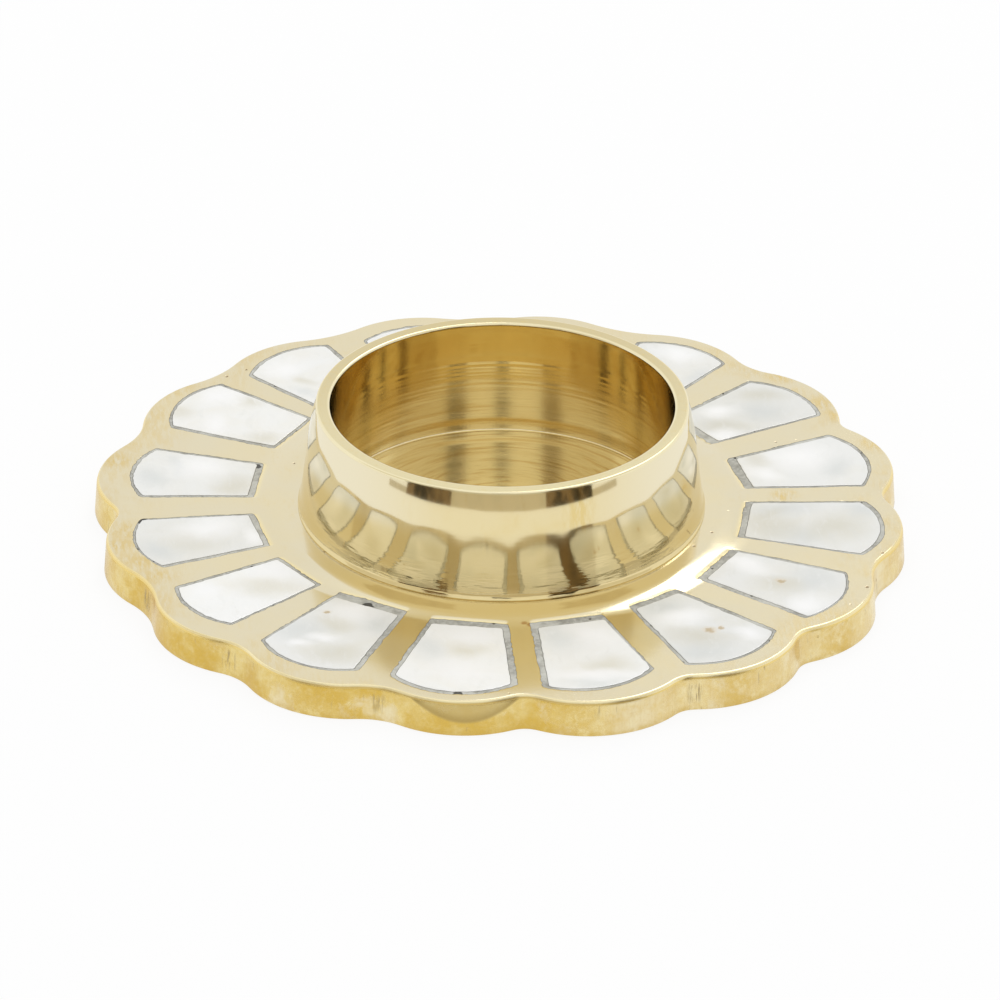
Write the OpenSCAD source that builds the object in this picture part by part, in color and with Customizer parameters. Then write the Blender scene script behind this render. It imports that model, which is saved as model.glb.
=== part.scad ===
// Scalloped brass tea-light holder with shell petals
// A cast dish shaped like an open flower, a turned cup seated in its middle, and one hand-cut tile of
// mother-of-pearl behind each lobe, bedded in grey setting paste and ground flush with the brass.
// Millimetres, +Z up, origin on the cup's axis at the underside of the dish.

/* [Dish] */
// Radius from the axis to the tip of a lobe, at the top edge
rim_r = 47.6; // [45:0.1:52]
// Radius of each rounded lobe
lobe_r = 12.5; // [11:0.1:14]
// Radius of the sharpest hollow between two lobes
hollow_r = 3; // [2:0.1:4]
// Height of the dish
dish_h = 4.4; // [4:0.1:8]
// How far the foot of the rim stands out past its top edge
draft = 0.25; // [0.1:0.05:0.6]
// Width of the worn bevel along the rim's top edge
rim_bevel = 0.35; // [0.2:0.05:0.6]
// Width of the bevel along the rim's lower edge
base_bevel = 0.25; // [0.1:0.05:0.5]

/* [Cup] */
// Radius of the bore that takes the tea light
bore_r = 20; // [18:0.1:22]
// Height of the cup above the dish
cup_h = 13.1; // [10:0.1:18]
// Depth of the cup's floor below the top of the dish
floor_drop = 1; // [0.5:0.1:1.4]
// Thickness of the cup's floor
floor_t = 2; // [1.5:0.1:2.4]
// Width of the wall at the lip
lip_w = 1.7; // [1.4:0.05:2.2]
// Lean of the wall just under the lip, in degrees
lip_lean = 16; // [13:0.5:18]
// Length of the barrelled upper wall, from its lower end up to the top of the lip
barrel_h = 5.1; // [4:0.1:7]
// Lean of the wall at the lower end of the barrel, in degrees
wall_lean = 5.6; // [4:0.1:7.4]
// Lean of the hollowed lower wall where the foot begins to flare, in degrees
flare_lean = 8.2; // [7.8:0.1:10]
// Height above the dish where the foot begins to flare
flare_h = 1.6; // [1.2:0.1:2.4]
// How far the flared foot stands out past the line of the wall
foot_flare = 0.16; // [0.1:0.02:0.5]
// Height of the upright edge round the foot
foot_edge = 0.25; // [0.15:0.05:0.4]
// Radius of the lip's rounded outer edge
lip_round = 0.25; // [0.2:0.05:0.6]
// Radius of the rounded edge of the bore's mouth
mouth_round = 0.15; // [0.1:0.05:0.4]
// Bevel in the corner between the bore and the floor
corner_bevel = 0.25; // [0.15:0.05:0.5]
// Width of the wall of the spigot that sits in the dish
spigot_w = 1.6; // [1.2:0.1:2.4]

/* [Petals] */
// Brass left between the cup's foot and the inner end of a pocket
inner_border = 4.84; // [4:0.02:7]
// Brass left between the outer end of a pocket and the tip of its lobe
rim_border = 2.6; // [2.2:0.1:4]
// Width of the brass bar between two pockets at their inner ends
bar_in_w = 2.9; // [2.2:0.1:4]
// Width of the brass bar between two pockets at their shoulders
bar_out_w = 4; // [3:0.1:5]
// Radius of the rounded outer end of a pocket
end_r = 10; // [9:0.1:12]
// How far a pocket's outer end rises past its shoulders
end_rise = 2.4; // [1.8:0.1:3]
// Thickness of a petal
petal_t = 1.2; // [0.8:0.05:1.5]
// Thickness of the paste under a petal
bed_t = 0.4; // [0.2:0.05:0.8]
// Width of the paste round a petal
filler_w = 0.4; // [0.35:0.05:0.7]
// How far the paste lies below the top of the brass
filler_sink = 0.1; // [0.05:0.05:0.3]

/* [Clearances] */
// Gap round the spigot in its seat, filled with solder
seat_gap = 0.1; // [0.05:0.05:0.3]
// Gap under the spigot, filled with solder
solder_gap = 0.1; // [0.05:0.05:0.3]
// How far each hollow is filed into its two lobes
hollow_bite = 0.04; // [0.02:0.01:0.1]

/* [Hidden] */
petal_count = 16;
pitch = 360 / petal_count;
over = 1;
arc_steps = 8;
round_steps = 6;
$fn = 96;

// The lobes were drawn by hand: how far each one is turned (degrees, anticlockwise) and stands out (mm)
lobe_hand = [
    [-0.1, -0.3], [0, -0.1], [-0.1, -0.1], [0, 0], [-0.1, 0.4], [-1, 0.2], [-2.2, 0.3], [-1.7, 0.3],
    [-0.4, -0.6], [0.4, -0.3], [0.5, 0.3], [0.2, -0.4], [0.5, 0.6], [0, 0.4], [-0.8, 0.3], [-0.7, -0.5]
];

// Extra radius of the hollow after each lobe; the fuller ones were filed less
hollow_hand = [0, 4, 14, 20, 13, 10, 7, 0, 8, 4, 5, 0, 0, 0, 5, 0];

// The pockets were cut by hand: each one's shift clockwise, extra width at the inner end and at the
// shoulders, shift of the inner end and of the outer end outwards, and lean of the outer end clockwise
pocket_hand = [
    [0, -0.7, 1, -0.1, -0.4, 0.2],
    [-0.4, -0.3, -0.7, 0, -0.1, 1],
    [-0.1, -0.3, -0.9, 0, 0.5, 0.4],
    [0, 0, 0, 0, 0.1, 0],
    [0.5, 0, -0.8, 0, 0.5, 0.3],
    [1.2, -0.2, -0.3, 0.2, 0.6, 0.5],
    [2.2, 0.7, -0.1, 1, 0.4, 0.5],
    [1.3, 0.1, -0.2, 0.2, -1, 0.1],
    [0.5, -0.2, -0.3, 0, -1.2, -0.1],
    [0.9, -0.1, -1.5, 0, -0.8, 0],
    [0.8, 0.7, 0.6, -0.7, 0, -0.2],
    [0, 0.7, 2.2, -0.1, 0.5, 0],
    [0.1, 0.3, 0.8, -0.1, 0.3, 0.6],
    [0.1, -1.4, 0.6, -0.3, 0.4, 0],
    [0.2, 0, -0.7, -0.2, 0.1, 0.7],
    [0.1, 0.4, 0.5, -0.4, 0, 0.7]
];

// The tiles were cut by hand too: extra paste at each one's inner end, clockwise side, outer end and
// anticlockwise side
petal_hand = [
    [0.7, 0, 0, 0.1], [0.8, 0, 0, 0], [0.3, 0, 0, 0.1], [0.2, 0, 0, 0],
    [0.3, 0, 0, -0.1], [0.3, 0.1, 0, 0.2], [0, 0, 0, 0.3], [0.4, 0, 0, 0.1],
    [0.3, -0.1, -0.1, 0.2], [0.1, 0, 0.1, 0], [1, -0.1, 0.1, 0.3], [0.8, 0.1, 0.3, 0.4],
    [0.9, 0.4, 0.2, -0.1], [0.6, 0.1, 0, 0.1], [0.6, 0.3, -0.1, 0], [0.4, 0, 0.2, -0.1]
];

// Cup
cup_top = dish_h + cup_h;
floor_z = dish_h - floor_drop;
spigot_z = floor_z - floor_t;
seat_z = spigot_z - solder_gap;
spigot_r = bore_r + spigot_w;
lip_r = bore_r + lip_w;
lip_centre = [lip_r - lip_round, cup_top - lip_round];
lip_point = lip_centre + lip_round * heading(lip_lean);
barrel_r = (lip_point[1] - cup_top + barrel_h) / (sin(lip_lean) - sin(wall_lean));
barrel_centre = lip_point - barrel_r * heading(lip_lean);
barrel_point = barrel_centre + barrel_r * heading(wall_lean);
wall_r = (cup_h - barrel_h - flare_h) / (sin(flare_lean) - sin(wall_lean));
wall_centre = barrel_point + wall_r * heading(wall_lean);
flare_point = wall_centre - wall_r * heading(flare_lean);
foot_r = flare_point[0] + (flare_h - foot_edge) * tan(flare_lean) + foot_flare;
foot_point = [foot_r, dish_h + foot_edge];
flare_r = bend_radius(foot_point - flare_point, heading(flare_lean));
flare_centre = flare_point + flare_r * heading(flare_lean);

// Pockets
pocket_depth = petal_t + bed_t;
pocket_in_r = foot_r + inner_border;
pocket_end_r = rim_r - rim_border;
shoulder_r = pocket_end_r - end_rise;
pocket_in_w = chord(pocket_in_r) - bar_in_w;
pocket_out_w = chord(shoulder_r) - bar_out_w;
petal_z = dish_h - petal_t;

function numbered(kind, i) = str(kind, i < 10 ? "0" : "", i);

// Distance between the middles of two neighbouring bars at radius r
function chord(r) = 2 * r * sin(pitch / 2);

// Radius of the arc that leaves a point at right angles to normal and passes through a point at offset
function bend_radius(offset, normal) = (offset * offset) / (2 * offset * normal);

// Points on an arc about centre, from one angle to another
function arc(centre, r, from, to, steps) =
    [for (k = [0 : steps]) let (a = from + (to - from) * k / steps) centre + r * heading(a)];

function heading(a) = [cos(a), sin(a)];
function direction(v) = atan2(v[1], v[0]);

// Lobes and hollows of the rim
function lobe_angle(i) = (i + 0.5) * pitch + lobe_hand[i % petal_count][0];
function lobe_reach(i) = rim_r - lobe_r + lobe_hand[i % petal_count][1];
function lobe_centre(i) = lobe_reach(i) * heading(lobe_angle(i));

function hollow_radius(i) = hollow_r + hollow_hand[i % petal_count];

// Centre of the circle that touches the lobes on both sides of a hollow
function hollow_centre(i) =
    let (
        a = lobe_centre(i),
        b = lobe_centre(i + 1),
        half = norm(b - a) / 2,
        along = (b - a) / norm(b - a),
        outwards = [along[1], -along[0]],
        reach = lobe_r + hollow_radius(i) - hollow_bite
    )
    (a + b) / 2 + outwards * sqrt(reach * reach - half * half);

// Half section of a drafted edge with bevels: r is its radius at the top, grown is 1 on a lobe and -1 in
// a hollow, and past is how far the section runs past both faces of the dish
module edge_section(r, grown, past) {
    polygon([
        [0, -past],
        [r + grown * (draft - base_bevel - past), -past],
        [r + grown * draft, base_bevel],
        [r, dish_h - rim_bevel],
        [r - grown * (rim_bevel + past), dish_h + past],
        [0, dish_h + past]
    ]);
}

module lobe(i) {
    translate(lobe_centre(i)) rotate_extrude() edge_section(lobe_r, 1, 0);
}

module hollow(i) {
    translate(hollow_centre(i)) rotate_extrude() edge_section(hollow_radius(i), -1, 0.05);
}

// Web between two lobes, out to the middle of the hollow that is cut in it
module web(i) {
    linear_extrude(dish_h) polygon([[0, 0], lobe_centre(i), hollow_centre(i), lobe_centre(i + 1)]);
}

// Outline of a pocket, or with gaps round it of the petal in it, with the rim along +X
module petal_outline(i, gaps) {
    hand = pocket_hand[i];
    in_r = pocket_in_r + hand[3];
    outer_r = pocket_end_r + hand[4];
    half_in = (pocket_in_w + hand[1]) / 2;
    half_out = (pocket_out_w + hand[2]) / 2;
    slope = (half_out - half_in) / (shoulder_r - in_r);
    stretch = sqrt(1 + slope * slope);
    near = in_r + gaps[0];
    far = outer_r + over;
    half_near = half_in + slope * gaps[0];
    half_far = half_in + slope * (far - in_r);
    clockwise = gaps[1] * stretch - hand[0];
    anticlockwise = -gaps[3] * stretch - hand[0];
    intersection() {
        polygon([
            [near, clockwise - half_near],
            [far, clockwise - half_far],
            [far, anticlockwise + half_far],
            [near, anticlockwise + half_near]
        ]);
        translate([outer_r - end_r, -hand[0] - hand[5]]) circle(end_r - gaps[2]);
    }
}

module pocket(i, bottom, top) {
    rotate((i + 0.5) * pitch)
        translate([0, 0, bottom])
            linear_extrude(top - bottom) petal_outline(i, [0, 0, 0, 0]);
}

module petal_block(i, top) {
    extra = petal_hand[i];
    rotate((i + 0.5) * pitch)
        translate([0, 0, petal_z])
            linear_extrude(top - petal_z) petal_outline(i, [for (e = extra) filler_w + e]);
}

module dish() {
    color("goldenrod")
        difference() {
            union() {
                for (i = [0 : petal_count - 1]) lobe(i);
                for (i = [0 : petal_count - 1]) web(i);
            }
            for (i = [0 : petal_count - 1]) hollow(i);
            for (i = [0 : petal_count - 1]) pocket(i, dish_h - pocket_depth, dish_h + over);
            translate([0, 0, seat_z]) cylinder(h = dish_h - seat_z + over, r = spigot_r + seat_gap);
        }
}

// Half section of the cup: spigot, foot, flare, wall, barrel, lip, bore and floor
function cup_section() = concat(
    [[0, spigot_z], [spigot_r, spigot_z], [spigot_r, dish_h], [foot_r, dish_h]],
    arc(flare_centre, flare_r, 180 + direction(flare_centre - foot_point), 180 + flare_lean, arc_steps),
    arc(wall_centre, wall_r, 180 + flare_lean, 180 + wall_lean, arc_steps),
    arc(barrel_centre, barrel_r, wall_lean, lip_lean, arc_steps),
    arc(lip_centre, lip_round, lip_lean, 90, round_steps),
    arc([bore_r + mouth_round, cup_top - mouth_round], mouth_round, 90, 180, round_steps),
    [[bore_r, floor_z + corner_bevel], [bore_r - corner_bevel, floor_z], [0, floor_z]]
);

module cup() {
    color("gold") rotate_extrude() polygon(cup_section());
}

module filler(i) {
    color("gray")
        difference() {
            pocket(i, dish_h - pocket_depth, dish_h - filler_sink);
            petal_block(i, dish_h + over);
        }
}

module petal(i) {
    color("ivory") petal_block(i, dish_h);
}

dish();
cup();
for (i = [0 : petal_count - 1]) {
    filler(i);
    petal(i);
}
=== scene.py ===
import math

import bmesh
import bpy
from mathutils import Matrix, Vector, noise


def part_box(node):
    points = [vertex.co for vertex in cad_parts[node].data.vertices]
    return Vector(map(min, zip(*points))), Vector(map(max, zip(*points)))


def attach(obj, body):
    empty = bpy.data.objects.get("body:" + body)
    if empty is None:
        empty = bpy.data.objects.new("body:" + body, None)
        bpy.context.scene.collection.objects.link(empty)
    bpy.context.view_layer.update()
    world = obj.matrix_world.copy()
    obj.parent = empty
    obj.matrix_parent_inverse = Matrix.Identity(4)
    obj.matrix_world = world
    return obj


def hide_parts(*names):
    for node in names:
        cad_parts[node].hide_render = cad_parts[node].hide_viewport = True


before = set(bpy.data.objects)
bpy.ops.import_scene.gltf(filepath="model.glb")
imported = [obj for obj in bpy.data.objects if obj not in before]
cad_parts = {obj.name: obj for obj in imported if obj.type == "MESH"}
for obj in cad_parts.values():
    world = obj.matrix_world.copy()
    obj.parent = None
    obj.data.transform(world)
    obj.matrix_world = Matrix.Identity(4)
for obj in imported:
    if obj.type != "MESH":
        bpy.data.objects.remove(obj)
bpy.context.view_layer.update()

MM = 0.001
PETALS = range(1, 17)

# Heights from the CAD solids in metres, and the top of the dish in millimetres
dish_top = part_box("dish")[1].z
cup_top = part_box("cup")[1].z
spigot_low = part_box("cup")[0].z
pocket_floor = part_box("filler_01")[0].z
petal_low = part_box("petal_01")[0].z
TOP = dish_top / MM

# Sizes of the dish and the cup, as in the CAD solids
RIM_BEVEL = 0.35 * MM
RIM_DRAFT = 0.25 * MM
SPIGOT_R = 21.6 * MM
SEAT_R = 21.7 * MM
SEAT_LOW = spigot_low - 0.1 * MM
BORE_R = 20 * MM
LIP_R = 21.7 * MM
FOOT_R = 23.757 * MM
FLOOR_DEPTH = 1 * MM

# The cup's outer wall: leans in degrees, lengths in millimetres
LIP_LEAN, WALL_LEAN, FLARE_LEAN = 16, 5.6, 8.2
BARREL_H, FLARE_H = 5.1, 1.6

# How many points the outlines have
RIM_POINTS, POCKET_POINTS, TILE_POINTS, SEAT_POINTS = 1200, 320, 240, 128
CUP_STEPS, CARD_STEPS = 256, 24


# Loops of points

def level_corners(node, z):
    """A CAD node's corners at height z, in order round their middle."""
    found = {}
    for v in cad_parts[node].data.vertices:
        if abs(v.co.z - z) < 2e-5:
            found[round(v.co.x, 6), round(v.co.y, 6)] = v.co.to_2d()
    middle = sum(found.values(), Vector((0, 0))) / len(found)
    return sorted(found.values(), key=lambda p: math.atan2(p.y - middle.y, p.x - middle.x))


def even_loop(points, count):
    """A closed run of points, spaced evenly along its length."""
    ends = points[1:] + points[:1]
    lengths = [(b - a).length for a, b in zip(points, ends)]
    step = sum(lengths) / count
    spaced, done, side = [], 0.0, 0
    for k in range(count):
        while side < len(points) - 1 and k * step > done + lengths[side]:
            done += lengths[side]
            side += 1
        spaced.append(points[side].lerp(ends[side], (k * step - done) / lengths[side]))
    return spaced


def neighbours(loop):
    """Each point of a closed loop with the one before it and the one after it."""
    return zip(loop[-1:] + loop[:-1], loop, loop[1:] + loop[:1])


def softened(loop, times):
    """A closed loop with its corners rounded off."""
    for _ in range(times):
        loop = [(a + 2 * b + c) / 4 for a, b, c in neighbours(loop)]
    return loop


def outward(loop):
    """The direction out of the loop at each of its points."""
    across = [(c - a).normalized() for a, _, c in neighbours(loop)]
    return [Vector((t.y, -t.x)) for t in across]


def hand_cut(loop, depth, grain, seed):
    """A loop with the waves and nicks of a hand-cut edge, rougher in some places than in others."""
    def ripple(p, layer, length):
        return noise.noise(Vector((p.x, p.y, seed * 0.01 + layer)) / length)

    waved = []
    for p, n in zip(loop, outward(loop)):
        wave = ripple(p, 0, grain * 2.2)
        nick = ripple(p, 5, grain * 0.45)
        coarse = 0.35 + 1.3 * max(0.0, ripple(p, 9, grain * 5) + 0.15)
        waved.append(p + n * depth * (0.8 * wave + coarse * nick))
    return waved


# Mesh building

def at_height(p, z):
    return Vector((p.x, p.y, z))


def add_loop(bm, loop, z):
    """A closed loop of new edges at height z; each point keeps its number in it as its station."""
    station = bm.verts.layers.int.get("station") or bm.verts.layers.int.new("station")
    verts = []
    for k, p in enumerate(loop):
        v = bm.verts.new(at_height(p, z))
        v[station] = k
        verts.append(v)
    return [bm.edges.new(pair) for pair in zip(verts, verts[1:] + verts[:1])]


def draw_on(bm, edges, place):
    """Extrude a loop to where place(station) puts its points; returns the new loop and the wall."""
    station = bm.verts.layers.int["station"]
    made = bmesh.ops.extrude_edge_only(bm, edges=edges)["geom"]
    for v in made:
        if isinstance(v, bmesh.types.BMVert):
            v.co = place(v[station])
    loop = [e for e in made if isinstance(e, bmesh.types.BMEdge)]
    walls = [f for f in made if isinstance(f, bmesh.types.BMFace)]
    return [e for e in loop if len(e.link_faces) == 1], walls


def fill(bm, edges):
    """Faces between closed loops that lie in one plane."""
    made = bmesh.ops.triangle_fill(bm, use_beauty=True, edges=edges, normal=(0, 0, 1))["geom"]
    return [f for f in made if isinstance(f, bmesh.types.BMFace)]


def finished(name, bm, node, slot, *finishes, sharp=35):
    """Close the mesh and hand it over as the piece that stands for a CAD node."""
    bmesh.ops.remove_doubles(bm, verts=bm.verts, dist=1e-7)
    bmesh.ops.recalc_face_normals(bm, faces=bm.faces)
    for f in bm.faces:
        f.smooth = True
    for e in bm.edges:
        e.smooth = len(e.link_faces) != 2 or e.calc_face_angle() < math.radians(sharp)
    mesh = bpy.data.meshes.new(name)
    bm.to_mesh(mesh)
    bm.free()
    for finish in finishes:
        mesh.materials.append(finish)
    piece = bpy.data.objects.new(name, mesh)
    bpy.context.scene.collection.objects.link(piece)
    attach(piece, "root")
    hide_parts(node)


# Materials

# A length along the height so great that a stain doesn't depend on it
ANY_HEIGHT = 1e6


class Wire:
    """A value in a material's nodes; sums, products and comparisons on it add Math nodes."""

    def __init__(self, finish, socket):
        self.finish = finish
        self.socket = socket

    def math(self, operation, *values):
        return self.finish.node("ShaderNodeMath", {"operation": operation}, *values)

    def __add__(self, other):
        return self.math("ADD", self, other)

    def __sub__(self, other):
        return self.math("SUBTRACT", self, other)

    def __rsub__(self, other):
        return self.math("SUBTRACT", other, self)

    def __mul__(self, other):
        return self.math("MULTIPLY", self, other)

    def __abs__(self):
        return self.math("ABSOLUTE", self)

    __radd__ = __add__
    __rmul__ = __mul__

    def most(self, other):
        """The larger of two values."""
        return self.math("MAXIMUM", self, other)

    def between(self, low, high):
        """0 at low, 1 at high, smooth in the middle."""
        settings = {"interpolation_type": "SMOOTHSTEP"}
        return self.finish.node("ShaderNodeMapRange", settings, self, low, high, 0.0, 1.0)

    def blend(self, first, second, kind="MIX"):
        """The first colour where this is 0, the second where it is 1; MULTIPLY tints the first."""
        settings = {"data_type": "RGBA", "blend_type": kind}
        return self.finish.node("ShaderNodeMix", settings, Factor=self, A=first, B=second, out="Result")


class Finish:
    """A material being built, on the piece's own coordinates in millimetres."""

    def __init__(self, name):
        self.material = bpy.data.materials.new(name)
        self.material.use_nodes = True
        self.tree = self.material.node_tree
        self.shader = self.tree.nodes["Principled BSDF"]
        place = self.node("ShaderNodeTexCoord", {}, out="Object")
        scaled = {"operation": "SCALE"}
        self.place = self.node("ShaderNodeVectorMath", scaled, place, Scale=1 / MM, out="Vector")
        self.x, self.y, self.z = (
            self.node("ShaderNodeSeparateXYZ", {}, self.place, out=axis) for axis in ("X", "Y", "Z"))
        self.r = self.x.math("SQRT", self.x * self.x + self.y * self.y)

    def put(self, socket, value):
        if isinstance(value, Wire):
            self.tree.links.new(value.socket, socket)
        elif hasattr(socket.default_value, "__len__"):
            wanted = tuple(value)
            socket.default_value = wanted + (1.0,) * (len(socket.default_value) - len(wanted))
        else:
            socket.default_value = value

    def node(self, kind, settings, *values, out=None, **named):
        """Any node: its settings first, then its sockets in order or by name; returns one output."""
        node = self.tree.nodes.new(kind)
        for key, value in settings.items():
            setattr(node, key, value)
        live = [s for s in node.inputs if s.enabled]
        for socket, value in zip(live, values):
            self.put(socket, value)
        for key, value in named.items():
            self.put(next(s for s in live if s.name == key.replace("_", " ")), value)
        outputs = [s for s in node.outputs if s.enabled]
        chosen = outputs[0] if out is None else next(s for s in outputs if s.name == out)
        return Wire(self, chosen)

    def vector(self, x, y, z):
        return self.node("ShaderNodeCombineXYZ", {}, x, y, z)

    def plan(self):
        """The coordinates with every height brought to the top of the dish."""
        return self.vector(self.x, self.y, TOP)

    def stretched(self, x, y, z):
        """The coordinates, multiplied axis by axis; a small number draws the pattern out."""
        return self.node("ShaderNodeVectorMath", {"operation": "MULTIPLY"}, self.place, (x, y, z))

    def cloud(self, scale, detail=3.0, roughness=0.5, place=None, distortion=0.0):
        """Noise from about 0 to 1, scale in waves per millimetre."""
        return self.node("ShaderNodeTexNoise", {}, Vector=place or self.place, Scale=scale,
                         Detail=detail, Roughness=roughness, Distortion=distortion)

    def specks(self, scale, size, share):
        """Small round spots, 1 inside, on a share of the cells of a grid."""
        cells = {"feature": "F1"}
        at = {"Vector": self.place, "Scale": scale}
        near = self.node("ShaderNodeTexVoronoi", cells, out="Distance", **at)
        colour = self.node("ShaderNodeTexVoronoi", cells, out="Color", **at)
        pick = self.node("ShaderNodeSeparateColor", {}, colour, out="Red")
        return (1 - near.between(size * 0.5, size)) * pick.math("LESS_THAN", pick, share)

    def drifted(self, amount, scale):
        """The coordinates, pushed about by noise, for stains without a clean outline."""
        push = self.node("ShaderNodeTexNoise", {}, Vector=self.place, Scale=scale, Detail=3.0,
                         out="Color")
        push = self.node("ShaderNodeVectorMath", {"operation": "SUBTRACT"}, push, (0.5, 0.5, 0.5))
        return self.node("ShaderNodeVectorMath", {"operation": "MULTIPLY_ADD"}, push,
                         (amount,) * 3, self.place)

    def spots(self, places, place=None):
        """Soft stains on the top of the dish, each an x, a y and a size; 1 in the middle of one."""
        total = 0.0
        for x, y, size in places:
            away = self.node("ShaderNodeVectorMath", {"operation": "DISTANCE"}, place or self.place,
                             (x, y, TOP), out="Value")
            stain = 1 - away.between(0.0, size)
            total = stain.most(total)
        return total

    def strokes(self, places, place):
        """Soft long stains, each an x, a y, two half lengths and a turn in degrees; 1 in the middle."""
        total = 0.0
        for x, y, length, width, turn in places:
            local = self.node("ShaderNodeMapping", {"vector_type": "TEXTURE"}, Vector=place,
                              Location=(x, y, 0.0), Rotation=(0.0, 0.0, math.radians(turn)),
                              Scale=(length, width, ANY_HEIGHT))
            away = self.node("ShaderNodeVectorMath", {"operation": "LENGTH"}, local, out="Value")
            stain = 1 - away.between(0.0, 1.0)
            total = stain.most(total)
        return total

    def seen(self, name):
        """A number that the piece's own mesh carries."""
        return self.node("ShaderNodeAttribute", {"attribute_name": name}, out="Fac")

    def bump(self, height):
        """Relief of a height in millimetres."""
        return self.node("ShaderNodeBump", {}, Strength=1.0, Distance=MM, Height=height)

    def surface(self, shader):
        """Use another shader than the principled one."""
        self.tree.nodes.remove(self.shader)
        self.tree.links.new(shader.socket, self.tree.nodes["Material Output"].inputs["Surface"])

    def done(self, **sockets):
        """Set the principled shader's own sockets and return the material."""
        for key, value in sockets.items():
            self.put(self.shader.inputs[key.replace("_", " ")], value)
        return self.material


# Tones of the brass
BRASS_CLEAN = (0.81, 0.69, 0.40)
BRASS_HAZED = (0.75, 0.675, 0.48)
BRASS_WARM = (0.765, 0.675, 0.45)
BRASS_YELLOW = (0.76, 0.57, 0.20)
BRASS_DEEP = (0.60, 0.40, 0.11)
BRASS_BROWN = (0.20, 0.12, 0.05)

# On the dish's top
TARNISH_GOLD = (0.68, 0.49, 0.15)
SOLDER_BROWN = (0.42, 0.22, 0.06)
EDGE_GOLD = (0.86, 0.66, 0.24)
# Painted glare on the ring round the cup's foot
FRONT_RING_GLARE = (0.88, 0.80, 0.58)
# Pale crest of the rim: the burnished crest's own tone and a painted highlight
CREST_PALE_AND_HIGHLIGHT = (0.95, 0.85, 0.54)

# On the rim and the underside
RIM_GOLD = (0.69, 0.47, 0.10)
RIM_LIGHT = (0.82, 0.66, 0.28)
RIM_PALE = (0.90, 0.81, 0.56)
# Paler tone for the right-hand side of the rim
RIM_RIGHT_PALE = (0.92, 0.84, 0.60)
RIM_BROWN = (0.62, 0.40, 0.08)
RIM_DEEP = (0.66, 0.44, 0.09)
RIM_MOTTLE = (0.76, 0.55, 0.15)
GRIT_DARK = (0.70, 0.47, 0.09)
GRIT_PALE = (0.90, 0.80, 0.54)
HATCH_BROWN = (0.60, 0.42, 0.14)
RIM_LOW = (0.60, 0.40, 0.09)
# The filed flat: its grey filed tone with a painted reflection, a painted dark reflection at its ends
# and painted shade low on it
FACET_TONE_AND_REFLECTION = (0.55, 0.43, 0.19)
FACET_END_DARK_REFLECTION = (0.24, 0.16, 0.05)
FACET_LOW_SHADE = (0.36, 0.25, 0.07)
FILED_GREY = (0.36, 0.29, 0.17)
NICK_BROWN = (0.40, 0.26, 0.08)
UNDER_DARK = (0.72, 0.56, 0.24)
UNDER_PALE = (0.85, 0.73, 0.43)

# On the cup
FLANK_PAINTED_REFLECTION = (0.845, 0.77, 0.56)
WALL_GOLD = (0.77, 0.635, 0.33)
BORE_LOW = (0.77, 0.65, 0.365)
BORE_HIGH = (0.75, 0.59, 0.265)
BORE_SIDE_DARK_REFLECTION = (0.62, 0.43, 0.15)
FLOOR_LIT_LEFT = (0.90, 0.825, 0.61)
FLOOR_SHADED_RIGHT = (0.86, 0.765, 0.515)
LIP_FRONT_LIT = (0.76, 0.67, 0.40)
LIP_BACK_SHADED = (0.65, 0.545, 0.30)
LIP_EDGE_HIGHLIGHT = (0.95, 0.87, 0.60)
SCRATCH_DARK = (0.48, 0.33, 0.12)
SCRATCH_PALE = (0.88, 0.79, 0.52)

# In the shell
SHELL_WHITE = (0.925, 0.93, 0.915)
SHELL_WARM = (0.905, 0.895, 0.845)
SHELL_GREY = (0.785, 0.805, 0.795)
SHELL_CREAM = (0.74, 0.71, 0.595)
GROWTH_WHITE = (0.95, 0.95, 0.94)
GROWTH_GREY = (0.80, 0.805, 0.77)
SHELL_DULL = (0.78, 0.78, 0.76)
SHELL_SHEEN = (0.955, 0.955, 0.95)
SPECK_HALO = (0.74, 0.64, 0.47)
SPECK_BROWN = (0.50, 0.37, 0.19)

# In the paste
PASTE_DARK = (0.30, 0.295, 0.26)
PASTE_LIGHT = (0.58, 0.575, 0.52)
PASTE_PALE = (0.68, 0.68, 0.62)
PASTE_DIRT = (0.20, 0.185, 0.15)
PASTE_EDGE_DIRT_AND_SHADE = (0.075, 0.068, 0.05)
PASTE_HOLE = (0.02, 0.018, 0.015)

# Pits and stains seen on the top: places and sizes in millimetres
PITS = [(43.2, -14.5, 0.45), (40.6, -22.5, 0.5), (41.4, -22.9, 0.35), (-30.6, 33.0, 0.4),
        (-28.2, 34.6, 0.35)]
SOLDER_STAINS = [(1.4, -29.2, 1.0), (0.6, -28.7, 0.7)]
CUP_SMEAR = [(7.4, -21.0, 2.6)]

# Yellow tarnish on the lobes, then pale patches, deep patches and file marks on the rim
TARNISH = [(35.5, 29.5, 3.0), (40.0, 22.5, 3.5), (41.0, 19.5, 3.0), (45.0, 12.0, 3.0), (33.0, 0.0, 2.5),
           (-44.5, 12.5, 4.0), (-44.0, -4.5, 4.0), (-45.0, -8.0, 4.0), (-42.5, -12.0, 5.0),
           (-41.0, -15.5, 4.0), (-43.0, -18.5, 4.0)]
PALE_RIM = [(12.0, -45.5, 5.5), (43.5, -17.0, 4.0)]
DEEP_RIM = [(-46.5, -7.0, 4.0), (-41.0, -22.5, 4.0), (-36.0, -30.5, 4.5), (-24.5, -41.0, 5.0),
            (36.5, -30.0, 4.5), (24.0, -40.5, 4.5), (5.0, -46.5, 4.5), (45.5, -11.0, 3.0)]
FILE_MARKS = [(-42.0, -17.5, 1.5), (-33.5, -32.0, 1.6), (-16.5, -41.5, 2.2), (19.0, -41.5, 1.6)]

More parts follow.
